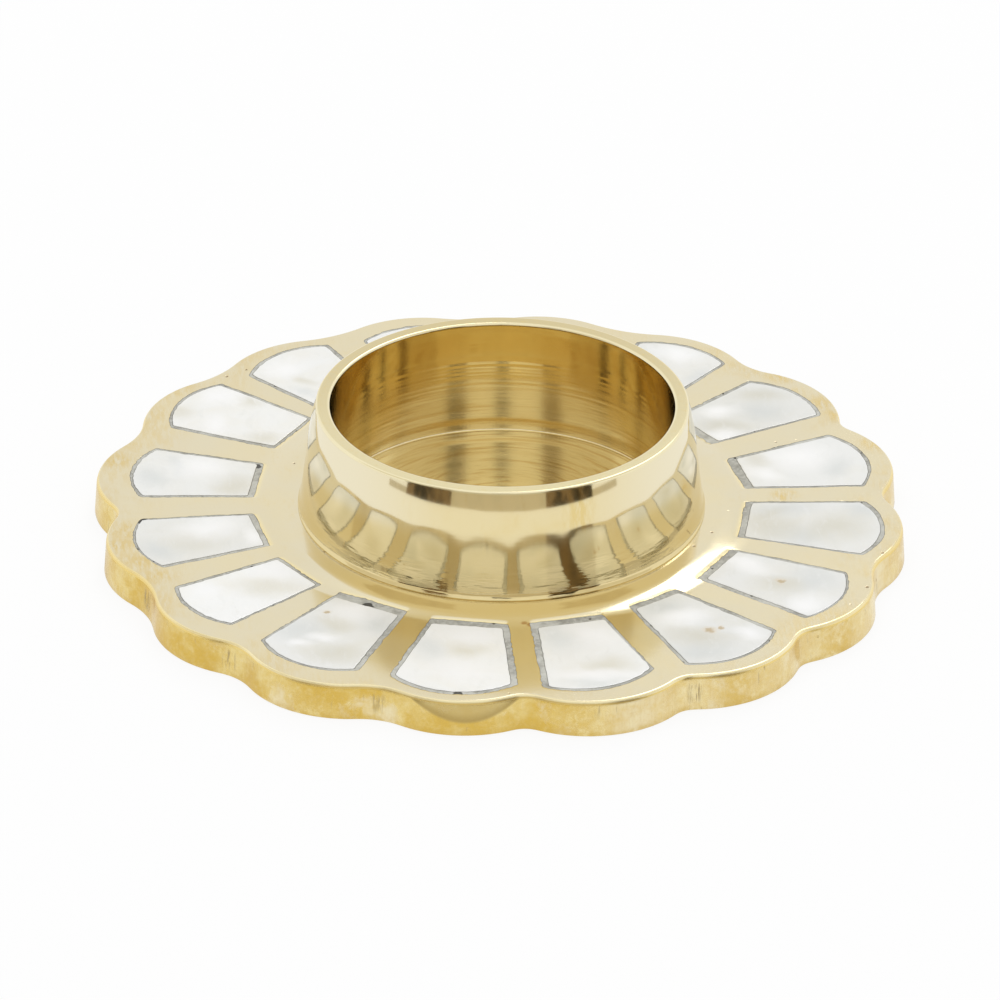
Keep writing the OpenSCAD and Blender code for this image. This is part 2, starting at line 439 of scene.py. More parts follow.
# Cream, grey and bright strokes, brown specks and holes seen in the inlay, in millimetres and degrees
CREAM = [(-27.0, 17.5, 3.5, 2.5, 160), (-36.5, 24.0, 3.0, 2.5, 60), (-28.5, 26.5, 2.5, 2.0, 160),
         (-31.0, 6.0, 4.0, 3.5, 5), (-36.0, -7.0, 5.0, 4.0, 25), (-28.5, -19.0, 6.0, 3.5, 170),
         (-21.5, -34.5, 5.5, 3.5, 170), (-20.5, -27.5, 3.0, 2.5, 150), (-6.5, -34.5, 3.5, 3.0, 170),
         (9.5, -39.0, 5.0, 3.0, 175), (20.3, -33.2, 5.5, 3.2, 165), (20.6, -33.6, 4.0, 2.2, 165),
         (30.5, -21.5, 5.0, 3.0, 160), (30.5, -5.0, 4.5, 2.0, 35), (38.5, -8.0, 7.0, 5.0, 15),
         (31.0, -7.0, 6.0, 5.0, 170), (31.0, 8.5, 3.0, 2.0, 110), (32.5, 25.0, 5.0, 2.5, 175),
         (27.5, 17.5, 5.0, 2.5, 165), (-21.5, 31.5, 3.0, 1.5, 150)]
GREY = [(-40.5, 8.5, 4.0, 3.5, 130), (-37.5, 11.0, 4.5, 1.5, 100), (-40.5, -9.5, 4.0, 3.0, 135),
        (-25.0, -29.0, 5.0, 4.5, 25), (-16.5, -28.0, 4.0, 3.0, 125), (-11.0, -34.0, 5.0, 3.0, 105),
        (4.0, -32.0, 6.0, 3.5, 105), (8.0, -43.0, 6.0, 2.5, 175), (16.5, -26.0, 4.0, 4.0, 10),
        (20.5, -36.5, 6.0, 3.5, 0), (34.5, -20.5, 5.0, 5.0, 160), (34.0, -9.5, 5.0, 4.0, 165),
        (32.5, -3.5, 7.0, 2.5, 5), (42.0, -4.0, 4.0, 3.0, 150), (40.0, 6.5, 4.5, 2.5, 65),
        (32.5, 21.0, 5.0, 4.0, 175), (26.0, 30.0, 4.0, 2.5, 45), (-21.5, 28.5, 3.0, 1.5, 140)]
# Bright strokes: a painted sheen over brighter bands of the shell
LUSTRE_SHEEN = [(-32.5, 21.0, 2.5, 3.5, 175), (-31.5, 28.0, 3.5, 4.0, 150), (-34.5, 10.5, 6.0, 4.0, 5),
          (-34.5, -4.5, 6.5, 4.5, 20), (-29.0, -6.5, 3.5, 2.0, 120), (-27.0, -14.5, 4.0, 4.5, 155),
          (-35.5, -19.5, 3.0, 3.5, 15), (-22.5, -30.5, 2.5, 1.5, 170), (-25.0, -32.0, 2.5, 1.5, 5),
          (-18.5, -25.0, 4.5, 4.5, 155), (-5.5, -31.5, 4.5, 3.5, 175), (-7.0, -39.5, 6.0, 5.0, 165),
          (8.5, -32.0, 6.0, 3.5, 145), (7.5, -41.0, 7.5, 2.0, 175), (19.0, -28.5, 5.0, 3.5, 15),
          (26.0, -32.5, 2.5, 2.5, 150), (27.0, -16.5, 5.0, 2.5, 145), (33.5, -26.0, 4.0, 3.0, 15),
          (35.5, 9.0, 6.0, 5.0, 15), (31.5, 5.0, 4.0, 2.0, 145), (27.5, 21.0, 3.5, 2.5, 15),
          (27.5, 15.0, 3.5, 3.0, 175), (24.0, 36.0, 4.5, 2.5, 150), (-23.5, 34.5, 3.5, 4.0, 150)]
BROWN_SPECKS = [(21.7, -31.5, 1.5), (23.0, -31.0, 1.0), (30.7, -20.5, 1.3), (-21.7, -25.2, 0.8)]
PASTE_HOLES = [(-28.0, 10.4, 0.9), (-42.0, -2.3, 1.2), (-8.0, -44.4, 1.0), (-17.0, -23.7, 1.3)]

# How dull each tile's shell is, from petal 01 to petal 16; 0 is the whitest
DULL = (0.45, 0.70, 0.45, 0.30, 0.30, 0.22, 0.15, 0.40, 0.55, 0.0, 0.45, 0.0, 0.15, 0.62, 0.55, 0.56)


# The filed flat on the front left lobe: its middle along x, its half width and its depth in millimetres
FACET_X, FACET_HALF, FACET_DEPTH = -7.2, 6.8, 2.9

# Soft forms in the shading, in millimetres: the dish's roll round the foot and the cup's rounded foot
ROLL_DEPTH, FOOT_ROUND = 0.72, 0.3


def polished_top():
    """Hand-polished brass of the dish's top: hazed, with yellow streaks near the rim and tiny pits."""
    f = Finish("polished dish brass")
    haze = f.cloud(0.14, 4.0, 0.6)
    edge = 1 - f.z.between(4.28, 4.395)
    slant = f.node("ShaderNodeMapping", {}, Vector=f.place, Rotation=(0.0, 0.0, math.radians(35)),
                   Scale=(1.0, 0.22, 1.0))
    streak = f.cloud(2.0, 4.0, 0.7, slant)
    sides = abs(f.x).between(12.0, 36.0)
    patch = f.cloud(0.10, 3.0, 0.6).between(0.40, 0.60)
    tarnish = f.r.between(38.0, 46.5) * (0.1 + 0.5 * sides) * patch
    tarnish = tarnish.most(f.spots(TARNISH, f.drifted(2.0, 0.5)))
    tarnish = tarnish * streak.between(0.30, 0.62)
    faint = f.cloud(0.3, 4.0, 0.7).between(0.5, 0.75) * streak.between(0.4, 0.7)
    pits = f.specks(0.42, 0.10, 0.08)
    pits = pits.most(f.spots(PITS).between(0.45, 0.8))
    stain = f.spots(SOLDER_STAINS, f.drifted(0.8, 1.5)).between(0.15, 0.7)
    colour = haze.between(0.3, 0.7).blend(BRASS_HAZED, BRASS_WARM)
    colour = (faint * 0.22).blend(colour, BRASS_YELLOW)
    colour = (tarnish * 0.75).blend(colour, TARNISH_GOLD)
    colour = (stain * 0.7).blend(colour, SOLDER_BROWN)
    colour = (edge * 0.95).blend(colour, EDGE_GOLD)
    # Painted glare: a pale patch on the ring round the foot, on the front side only
    front_ring_glare = (1 - f.r.between(26.5, 29.5)) * (1 - f.y.between(-23.0, -13.0))
    colour = (front_ring_glare * 0.55).blend(colour, FRONT_RING_GLARE)
    # A pale crest along the rim's top edge: the burnished crest's own tone, with a painted highlight on
    # it that is stronger towards the front
    crest = (1 - f.z.between(4.34, 4.395)) * f.z.between(4.06, 4.20)
    front = 1 - f.y.between(-38.0, -16.0)
    colour = (crest * (0.35 + 0.6 * front)).blend(colour, CREST_PALE_AND_HIGHLIGHT)
    colour = (pits * 0.85).blend(colour, BRASS_BROWN)
    swell = f.cloud(0.10, 2.0, 0.4)
    hair = f.cloud(7.0, 2.0, 0.6, slant)
    buffed = f.r.between(25.8, 30.2)
    height = swell * 0.035 + hair * 0.0005 - pits * 0.03 - buffed * ROLL_DEPTH
    rough = 0.09 + haze * 0.07 + tarnish * 0.06 + pits * 0.2 + edge * 0.2
    return f.done(Base_Color=colour, Metallic=1.0, Roughness=rough, Normal=f.bump(height))


def sanded_rim():
    """Filed and buffed brass of the dish's edge and underside: mottled, with upright file marks."""
    f = Finish("filed rim brass")
    blotch = f.cloud(0.16, 5.0, 0.65)
    mottle = f.cloud(0.7, 4.0, 0.7)
    pale = f.cloud(0.17, 4.0, 0.6, f.drifted(3.0, 0.4)).between(0.52, 0.68)
    pale = pale.most(f.spots(PALE_RIM, f.plan()) * 0.8)
    brown = f.cloud(0.24, 5.0, 0.7, f.stretched(1.0, 1.0, 1.6)).between(0.55, 0.78)
    hatch = f.cloud(3.4, 3.0, 0.65, f.stretched(1.0, 1.0, 0.08))
    stroke = f.cloud(1.5, 2.0, 0.6, f.stretched(1.0, 1.0, 0.14))
    grit = f.cloud(2.0, 3.0, 0.7)
    marks = f.spots(FILE_MARKS, f.plan())
    filed = stroke.between(0.60, 0.70) * f.cloud(0.20, 2.0, 0.5).between(0.54, 0.66)
    middle = f.z.between(0.6, 1.8) * (1 - f.z.between(2.8, 3.7))
    filed = filed.most(marks.between(0.1, 0.6) * hatch.between(0.44, 0.60) * middle)
    reach = (f.x - FACET_X) * (1 / FACET_HALF)
    lens = 1 - reach * reach
    above = f.z - TOP + lens * FACET_DEPTH
    facet = above.between(0.0, 0.5) * lens.between(0.0, 0.1)
    facet = facet * (1 - f.y.between(-41.0, -39.0))
    nicks = f.specks(0.5, 0.13, 0.3) * f.x.between(28.0, 40.0)
    colour = blotch.between(0.38, 0.60).blend(RIM_GOLD, RIM_LIGHT)
    colour = (pale * 0.75).blend(colour, RIM_PALE)
    # Paler towards the right-hand side of the rim
    colour = (f.x.between(2.0, 14.0) * 0.38).blend(colour, RIM_RIGHT_PALE)
    colour = (brown * 0.5).blend(colour, RIM_BROWN)
    deep = f.spots(DEEP_RIM, f.plan())
    colour = (deep * mottle.between(0.3, 0.6) * 0.7).blend(colour, RIM_DEEP)
    colour = (mottle.between(0.42, 0.7) * 0.3).blend(colour, RIM_MOTTLE)
    colour = (grit.between(0.46, 0.70) * 0.2).blend(colour, GRIT_DARK)
    colour = ((1 - grit).between(0.46, 0.74) * 0.15).blend(colour, GRIT_PALE)
    colour = (hatch.between(0.45, 0.75) * 0.18).blend(colour, HATCH_BROWN)
    colour = ((1 - f.z.between(0.1, 1.1)) * mottle.between(0.3, 0.6) * 0.5).blend(colour, RIM_LOW)
    # The filed flat on the lobe: its grey filed tone with a painted reflection on it, a painted dark
    # reflection at its two ends and painted shade on its lower part
    colour = (facet * 0.7).blend(colour, FACET_TONE_AND_REFLECTION)
    colour = (facet * (1 - lens.between(0.2, 0.6)) * 0.6).blend(colour, FACET_END_DARK_REFLECTION)
    sunk = facet * (1 - above.between(0.3, 1.6))
    colour = (sunk * 0.55).blend(colour, FACET_LOW_SHADE)
    colour = (filed * 0.65).blend(colour, FILED_GREY)
    colour = (nicks * 0.7).blend(colour, NICK_BROWN)
    under = 1 - f.z.between(0.02, 0.15)
    linish = f.cloud(1.0, 4.0, 0.7, f.vector(f.x * 0.06, f.y * 2.6, 0.0))
    sanded = linish.between(0.3, 0.7).blend(UNDER_DARK, UNDER_PALE)
    colour = (under * 0.8).blend(colour, sanded)
    height = hatch * 0.007 + mottle * 0.012 + blotch * 0.05 - filed * 0.03 - nicks * 0.04
    rough = 0.21 + pale * 0.12 + mottle * 0.08 + filed * 0.15
    return f.done(Base_Color=colour, Metallic=1.0, Roughness=rough, Normal=f.bump(height))


def turned_cup():
    """Lathe-turned brass of the cup: bright outside, satin on the lip, ringed and browner inside."""
    f = Finish("turned cup brass")
    lip = f.z.between(17.1, 17.3)
    inside = (1 - f.r.between(19.95, 20.2)) * (1 - lip)
    floor = 1 - f.z.between(3.4, 3.6)
    deep = 1 - f.z.between(8.5, 13.0)
    belt = f.z.between(7.5, 9.5) * (1 - f.z.between(13.0, 14.2)) * inside
    foot = (1 - f.z.between(3.9, 5.1)) * (1 - inside)
    along = f.z + f.r
    sweep = f.node("ShaderNodeVectorMath", {"operation": "NORMALIZE"}, f.vector(f.x, f.y, 0.0))
    ux, uy = (f.node("ShaderNodeSeparateXYZ", {}, sweep, out=axis) for axis in ("X", "Y"))
    rings = f.cloud(1.0, 2.0, 0.6, f.vector(ux * 0.7, uy * 0.7, along * 0.9))
    fine = f.cloud(1.0, 2.0, 0.6, f.vector(ux * 1.6, uy * 1.6, along * 1.8))
    waves = f.cloud(1.0, 1.0, 0.5, f.vector(ux * 0.25, uy * 0.25, along * 1.3))
    scratch = f.cloud(1.0, 3.0, 0.7, f.vector(ux * 4.0, uy * 4.0, along * 4.5))
    stain = f.cloud(0.14, 4.0, 0.6)
    mottle = f.cloud(1.2, 4.0, 0.7)
    streak = f.cloud(1.0, 4.0, 0.7, f.stretched(1.4, 1.4, 0.25))
    specks = f.specks(0.6, 0.08, 0.02)
    colour = (stain.between(0.5, 0.75) * 0.3).blend(BRASS_CLEAN, BRASS_YELLOW)
    colour = (streak.between(0.55, 0.75) * (1 - inside) * 0.25).blend(colour, BRASS_YELLOW)
    # Painted reflection: pale on the cup's upper outer wall to the left and right of the middle
    flank_reflection = abs(f.x).between(6.0, 19.0) * f.z.between(10.5, 12.5) * (1 - inside)
    colour = flank_reflection.blend(colour, FLANK_PAINTED_REFLECTION)
    wall = (1 - f.z.between(9.5, 12.0)) * (1 - inside)
    colour = (wall * 0.7).blend(colour, WALL_GOLD)
    smear = f.spots(CUP_SMEAR, f.plan()) * f.z.between(11.5, 13.0)
    colour = (smear * (1 - lip) * streak.between(0.4, 0.6) * 0.6).blend(colour, BRASS_YELLOW)
    colour = inside.blend(colour, f.z.between(11.0, 16.0).blend(BORE_LOW, BORE_HIGH))
    # Painted dark reflection on the left and right sides of the bore
    bore_side_reflection = abs(f.x).between(9.0, 17.0) * f.z.between(7.0, 11.0) * inside
    colour = (bore_side_reflection * 0.5).blend(colour, BORE_SIDE_DARK_REFLECTION)
    # Painted light on the cup's floor: paler on the left than on the right
    colour = (floor * inside).blend(colour, f.x.between(-14.0, -3.0).blend(FLOOR_LIT_LEFT, FLOOR_SHADED_RIGHT))
    # Painted light on the lip: lighter at the front, darker at the back
    colour = (lip * 0.9).blend(colour, f.y.between(-17.0, 19.0).blend(LIP_FRONT_LIT, LIP_BACK_SHADED))
    colour = (lip * mottle.between(0.5, 0.7) * 0.3).blend(colour, BRASS_YELLOW)
    # Painted highlight along the lip's inner and outer edges
    lip_edge_highlight = lip * (1 - f.r.between(20.15, 20.45) + f.r.between(21.35, 21.6))
    colour = (lip_edge_highlight * 0.65).blend(colour, LIP_EDGE_HIGHLIGHT)
    colour = (fine.between(0.52, 0.68) * inside * deep * 0.5).blend(colour, BRASS_DEEP)
    colour = (scratch.between(0.58, 0.72) * inside * deep * 0.45).blend(colour, SCRATCH_DARK)
    colour = ((1 - scratch).between(0.58, 0.72) * inside * deep * 0.4).blend(colour, SCRATCH_PALE)
    colour = (specks * 0.7).blend(colour, BRASS_BROWN)
    rough = 0.05 + stain * 0.05 + lip * 0.06 + inside * deep * (0.11 - floor * 0.09 + fine * 0.04)
    turned = rings * 0.020 + (fine * 0.0040 + scratch * 0.0010) * (0.15 + 0.85 * deep)
    worked = 0.05 + 0.3 * (1 - f.z.between(6.0, 11.0)) * (1 - inside) + inside * (1 - floor * 0.7)
    chatter = f.cloud(1.0, 2.0, 0.6, f.vector(ux * 6.0, uy * 6.0, along * 2.0))
    height = turned * worked + chatter * 0.025 * (1 - f.z.between(6.0, 10.0)) * (1 - inside)
    height = height + f.cloud(0.15, 2.0) * 0.02 + belt * waves * 0.035 + foot * FOOT_ROUND
    return f.done(Base_Color=colour, Metallic=1.0, Roughness=rough, Normal=f.bump(height))


def mother_of_pearl():
    """White shell with grey and cream clouds, growth lines and bright lustre painted as a sheen over
    brighter bands, some tiles duller.
    """
    f = Finish("mother of pearl")
    drift = f.drifted(3.0, 0.22)
    cloud = f.cloud(0.12, 4.0, 0.55, distortion=0.8)
    cream, grey, bright = (f.strokes(places, drift) for places in (CREAM, GREY, LUSTRE_SHEEN))
    halo = f.spots(BROWN_SPECKS, f.drifted(1.8, 0.7)).between(0.05, 0.9)
    specks = f.spots(BROWN_SPECKS, f.drifted(1.4, 0.9)).between(0.55, 0.9)
    slant = f.node("ShaderNodeMapping", {}, Vector=drift, Rotation=(0.0, 0.0, math.radians(62)),
                   Scale=(1.0, 0.3, 1.0))
    growth = f.cloud(0.9, 3.0, 0.6, slant)
    colour = cloud.between(0.35, 0.7).blend(SHELL_WHITE, SHELL_WARM)
    colour = (grey * 0.85).blend(colour, SHELL_GREY)
    colour = (cream * (0.55 + 0.3 * growth)).blend(colour, SHELL_CREAM)
    colour = (growth.between(0.54, 0.75) * 0.4).blend(colour, GROWTH_WHITE)
    colour = ((1 - growth).between(0.52, 0.75) * 0.35).blend(colour, GROWTH_GREY)
    colour = f.seen("dull").blend(colour, SHELL_DULL, "MULTIPLY")
    # A painted sheen over the shell's own brighter bands
    colour = (bright * 0.9).blend(colour, SHELL_SHEEN)
    colour = (halo * 0.5).blend(colour, SPECK_HALO)
    colour = (specks * 0.75).blend(colour, SPECK_BROWN)
    rough = 0.14 + cloud * 0.10
    height = cloud * 0.06 + growth * 0.008 + bright * 0.02
    return f.done(Base_Color=colour, Roughness=rough, IOR=1.55, Normal=f.bump(height))


def setting_paste():
    """Grey setting paste, rubbed down with the tiles, with a dark line of dirt and painted shade along
    its edges, and with pinholes.
    """
    f = Finish("grey setting paste")
    edge = f.seen("edge")
    grain = f.cloud(2.2, 4.0, 0.7)
    dirt = f.cloud(0.45, 4.0, 0.65)
    holes = f.specks(1.0, 0.20, 0.25)
    holes = holes.most(f.spots(PASTE_HOLES, f.drifted(0.5, 2.0)).between(0.3, 0.6))
    pale = f.cloud(0.16, 2.0, 0.5).between(0.45, 0.65)
    colour = grain.between(0.25, 0.75).blend(PASTE_DARK, PASTE_LIGHT)
    colour = (pale * 0.6).blend(colour, PASTE_PALE)
    colour = (dirt.between(0.48, 0.72) * 0.55).blend(colour, PASTE_DIRT)
    # The dark line along both edges of the paste: dirt, and painted shade in the gaps at the brass and
    # the tile
    colour = (edge.between(0.1, 0.9) * 0.85).blend(colour, PASTE_EDGE_DIRT_AND_SHADE)
    colour = (holes * 0.9).blend(colour, PASTE_HOLE)
    height = grain * 0.05 - holes * 0.15
    return f.done(Base_Color=colour, Roughness=0.55 + grain * 0.2, Normal=f.bump(height))


dish_brass = polished_top()
rim_brass = sanded_rim()
cup_brass = turned_cup()
pearl = mother_of_pearl()
paste = setting_paste()


# Outlines of the pockets and the tiles; wear is 1 at a pocket's end towards the cup, 0 along its sides

smooth_pockets, pocket_loops, tile_loops, wear = {}, {}, {}, {}
for i in PETALS:
    cut = even_loop(level_corners(f"filler_{i:02d}", pocket_floor), POCKET_POINTS)
    smooth_pockets[i] = sawn = softened(cut, 6)
    wear[i] = [max(0.0, -n.dot(p.normalized())) ** 2 for p, n in zip(sawn, outward(sawn))]
    pocket_loops[i] = hand_cut(softened(cut, 4), 0.18 * MM, 1.3 * MM, i)
    cut = even_loop(level_corners(f"petal_{i:02d}", dish_top), TILE_POINTS)
    tile_loops[i] = hand_cut(softened(cut, 2), 0.10 * MM, 1.6 * MM, i + 40)


# The dish

# How wide and how deep the brass is dressed down round a pocket, and what wear adds, in millimetres
MOUTH_WIDE, WEAR_WIDE = 0.24, 0.73
MOUTH_DEEP, WEAR_DEEP = 0.004, 0.076

# The rings of the rim that are polished with the top; those below them are filed
POLISHED_RINGS = 8


def quarter(steps):
    """Angles of a quarter turn, in radians."""
    return [math.radians(90 * k / steps) for k in range(steps + 1)]


def make_dish():
    """The rim drawn down ring by ring, then the pockets and the seat of the cup sunk into the top."""
    bm = bmesh.new()
    rim = softened(even_loop(level_corners("dish", dish_top - RIM_BEVEL), RIM_POINTS), 10)
    out = outward(rim)
    round_in, round_down, round_base = 0.42 * MM, 0.85 * MM, 0.30 * MM

    def ring(offset, z):
        return lambda k: at_height(rim[k] + out[k] * offset, z)

    section = [(-round_in - 0.12 * MM, dish_top)]
    for a in quarter(10):
        section.append((-round_in * (1 - math.sin(a)), dish_top - round_down * (1 - math.cos(a))))
    wall_top, wall_low = dish_top - round_down, round_base
    skirt = RIM_DRAFT - 0.03 * MM
    section += [(skirt * k / 6, wall_top + (wall_low - wall_top) * k / 6) for k in range(1, 7)]
    for a in quarter(6)[1:]:
        section.append((skirt - round_base * (1 - math.cos(a)), round_base * (1 - math.sin(a))))
    section.append((skirt - round_base - 0.3 * MM, 0.0))

    start = add_loop(bm, [rim[k] + out[k] * section[0][0] for k in range(len(rim))], dish_top)
    edges, walls = start, []
    for offset, z in section[1:]:
        edges, made = draw_on(bm, edges, ring(offset, z))
        walls.append(made)
    underside = fill(bm, edges)

    holes = []
    for i in PETALS:
        cut, sawn = pocket_loops[i], smooth_pockets[i]
        away = outward(sawn)
        wide = [(MOUTH_WIDE + WEAR_WIDE * s) * MM for s in wear[i]]
        deep = [(MOUTH_DEEP + WEAR_DEEP * s) * MM for s in wear[i]]
        mouth = add_loop(bm, [p + n * w for p, n, w in zip(sawn, away, wide)], dish_top)
        edges = mouth
        for share in (0.75, 0.5, 0.25):
            edges, _ = draw_on(bm, edges, lambda k: at_height(
                sawn[k] + away[k] * share * wide[k], dish_top - deep[k] * (1 - share) ** 2))
        edges, _ = draw_on(bm, edges, lambda k: at_height(cut[k], dish_top - deep[k]))
        edges, _ = draw_on(bm, edges, lambda k: at_height(cut[k], pocket_floor))
        fill(bm, edges)
        holes += mouth
    turns = [math.tau * k / SEAT_POINTS for k in range(SEAT_POINTS)]
    circle = [Vector((SEAT_R * math.cos(a), SEAT_R * math.sin(a))) for a in turns]
    seat = add_loop(bm, circle, dish_top)
    low, _ = draw_on(bm, seat, lambda k: at_height(circle[k], SEAT_LOW))
    fill(bm, low)
    fill(bm, start + holes + seat)
    for f in [f for made in walls[POLISHED_RINGS:] for f in made] + underside:
        f.material_index = 1
    finished("scalloped_dish", bm, "dish", "cast_brass", dish_brass, rim_brass)


# The cup

def arc(centre, r, first, last, steps):
    """Points along an arc; its ends in degrees."""
    turns = [math.radians(first + (last - first) * k / steps) for k in range(steps + 1)]
    return [(centre[0] + r * math.cos(a), centre[1] + r * math.sin(a)) for a in turns]


def heading(degrees):
    return Vector((math.cos(math.radians(degrees)), math.sin(math.radians(degrees))))


def cup_section():
    """Half section of the cup in millimetres, from the middle of its underside to that of its floor."""
    top, base, low = cup_top / MM, TOP, spigot_low / MM
    bore, lip, foot, spigot = BORE_R / MM, LIP_R / MM, FOOT_R / MM, SPIGOT_R / MM
    floor = base - FLOOR_DEPTH / MM
    lip_round, mouth_round = 0.25, 0.3
    lip_centre = Vector((lip - lip_round, top - lip_round))
    lip_point = lip_centre + lip_round * heading(LIP_LEAN)
    barrel = (lip_point.y - top + BARREL_H) / (heading(LIP_LEAN).y - heading(WALL_LEAN).y)
    upper = arc(lip_point - barrel * heading(LIP_LEAN), barrel, WALL_LEAN, LIP_LEAN, 24)
    barrel_low = Vector(upper[0])
    hollow = (barrel_low.y - base - FLARE_H) / (heading(FLARE_LEAN).y - heading(WALL_LEAN).y)
    middle = arc(barrel_low + hollow * heading(WALL_LEAN), hollow, 180 + FLARE_LEAN, 180 + WALL_LEAN, 16)
    flare_top, foot_point = Vector(middle[0]), Vector((foot - 0.03, base + 0.22))
    across = foot_point - flare_top
    flare = across.length_squared / (2 * across.dot(heading(FLARE_LEAN)))
    flare_centre = flare_top + flare * heading(FLARE_LEAN)
    lean_in = flare_centre - foot_point
    begin = 180 + math.degrees(math.atan2(lean_in.y, lean_in.x))
    lower = arc(flare_centre, flare, begin, 180 + FLARE_LEAN, 24)
    edge = arc((foot - 0.12, base + 0.13), 0.12, -20, 40, 5)
    mouth = arc(lip_centre, lip_round, LIP_LEAN, 90, 12)
    inner = arc((bore + mouth_round, top - mouth_round), mouth_round, 90, 180, 12)
    corner = [(bore, floor + 0.16), (bore - 0.03, floor + 0.04), (bore - 0.10, floor - 0.02),
              (bore - 0.24, floor - 0.03), (bore - 0.36, floor)]
    wall = [(bore, top - 0.35 - (top - 0.7 - floor) * k / 8) for k in range(1, 8)]
    under = [(0, low), (spigot, low), (spigot, base), (foot - 0.1, base)]
    bed = [(bore * k / 6, floor) for k in range(5, -1, -1)]
    outside = edge + lower + middle[1:] + upper[1:] + mouth[1:]
    return under + outside + inner + wall + corner + bed


def make_cup():
    """The cup's half section, turned once round."""
    bm = bmesh.new()
    verts = [bm.verts.new((r * MM, 0, z * MM)) for r, z in cup_section()]
    edges = [bm.edges.new(pair) for pair in zip(verts, verts[1:])]
    bmesh.ops.spin(bm, geom=verts + edges, cent=(0, 0, 0), axis=(0, 0, 1), angle=math.tau,
                   steps=CUP_STEPS, use_merge=True)
    finished("turned_cup", bm, "cup", "turned_brass", cup_brass, sharp=40)


# The paste and the tiles

# How far the paste lies below the top beside the brass and beside the tile, and how much lower between
# them, in millimetres
BRASS_DIP, TILE_DIP, STRIP_DIP = 0.012, 0.06, 0.01

# The share of the paste's strip that a dark line takes, and the line's greatest width in millimetres
LINE_SHARE, LINE_MOST = 0.3, 0.11

# How far the upper edge of a tile is eased
TILE_EASE = 0.07 * MM


def margin(loop, other, share, most):
    """How far each point of a loop may step towards another loop."""
    return [min(most, share * min((p - q).length for q in other)) for p in loop]


def make_filler(i):
    """The paste: a bed under the tile and a strip round it with a dark line along both its edges."""
    bm = bmesh.new()
    edge = bm.verts.layers.float.new("edge")

    def strip(loop, other, side, drop):
        line = margin(loop, other, LINE_SHARE, LINE_MOST * MM)
        step = [p + n * side * m for p, n, m in zip(loop, outward(loop), line)]
        border = add_loop(bm, loop, dish_top)
        for v in {v for e in border for v in e.verts}:
            v.co.z -= drop[v[bm.verts.layers.int["station"]]]
            v[edge] = 1.0
        sunk = [dish_top - d - STRIP_DIP * MM for d in drop]
        middle, _ = draw_on(bm, border, lambda k: at_height(step[k], sunk[k]))
        for v in {v for e in middle for v in e.verts}:
            v[edge] = 0.0
        return border, middle

    outer, inner = pocket_loops[i], tile_loops[i]
    rim, rim_top = strip(outer, inner, -1, [(BRASS_DIP + WEAR_DEEP * s) * MM for s in wear[i]])
    low, _ = draw_on(bm, rim, lambda k: at_height(outer[k], pocket_floor))
    fill(bm, low)
    lip, lip_top = strip(inner, outer, 1, [TILE_DIP * MM] * len(inner))
    bed, _ = draw_on(bm, lip, lambda k: at_height(inner[k], petal_low))
    fill(bm, bed)
    fill(bm, rim_top + lip_top)
    finished(f"paste_{i:02d}", bm, f"filler_{i:02d}", "paste", paste)


def make_tile(i):
    """A flat tile with its upper edge eased; its mesh carries how dull its shell is."""
    bm = bmesh.new()
    dull = bm.verts.layers.float.new("dull")
    loop = tile_loops[i]
    out = outward(loop)

    def ring(inset, z):
        return lambda k: at_height(loop[k] - out[k] * inset, z)

    base = add_loop(bm, loop, petal_low)
    fill(bm, base)
    edges = base
    for inset, drop in ((0, 1), (0.3, 0.3), (1, 0), (2, 0)):
        edges, _ = draw_on(bm, edges, ring(TILE_EASE * inset, dish_top - TILE_EASE * drop))
    fill(bm, edges)
    for v in bm.verts:
        v[dull] = DULL[i - 1]
    finished(f"shell_petal_{i:02d}", bm, f"petal_{i:02d}", "shell", pearl)


make_dish()
make_cup()
for i in PETALS:
    make_filler(i)
    make_tile(i)


# Studio

# The camera fitted to the photo: degrees, metres, and the length of its lens in millimetres
CAMERA_TURN, CAMERA_RISE, CAMERA_ROLL = -4.19, 28.636, 0.55
CAMERA_DISTANCE, CAMERA_LENS, SENSOR_WIDTH = 1.1536, 355.9, 36
CAMERA_LEFT, CAMERA_UP = 0.17 * MM, 0.27 * MM

# Half the side of the floor, how far it lies below the dish, and how bright floor and walls are
FLOOR_HALF, FLOOR_DROP = 3.0, 0.02 * MM
FLOOR_TONE = (0.93, 0.93, 0.93)
FLOOR_GLOW, WALL_GLOW = 0.88, 0.67

# How far the cards stand from the middle, and their least height above the floor
ROOM_REACH, DARK_REACH, LENS_REACH = 0.18, 0.178, 0.17
CARD_FOOT = 0.5 * MM


def direction(azimuth, elevation):
    """Out from the object; azimuth 0 is the photo's side, both in degrees."""
    a, e = math.radians(azimuth), math.radians(elevation)
    return Vector((math.sin(a) * math.cos(e), -math.cos(a) * math.cos(e), math.sin(e)))


def stage_piece(name, bm, finish):
    mesh = bpy.data.meshes.new(name)
    bm.to_mesh(mesh)
    bm.free()
    mesh.materials.append(finish)
    piece = bpy.data.objects.new(name, mesh)
    bpy.context.scene.collection.objects.link(piece)
    return piece


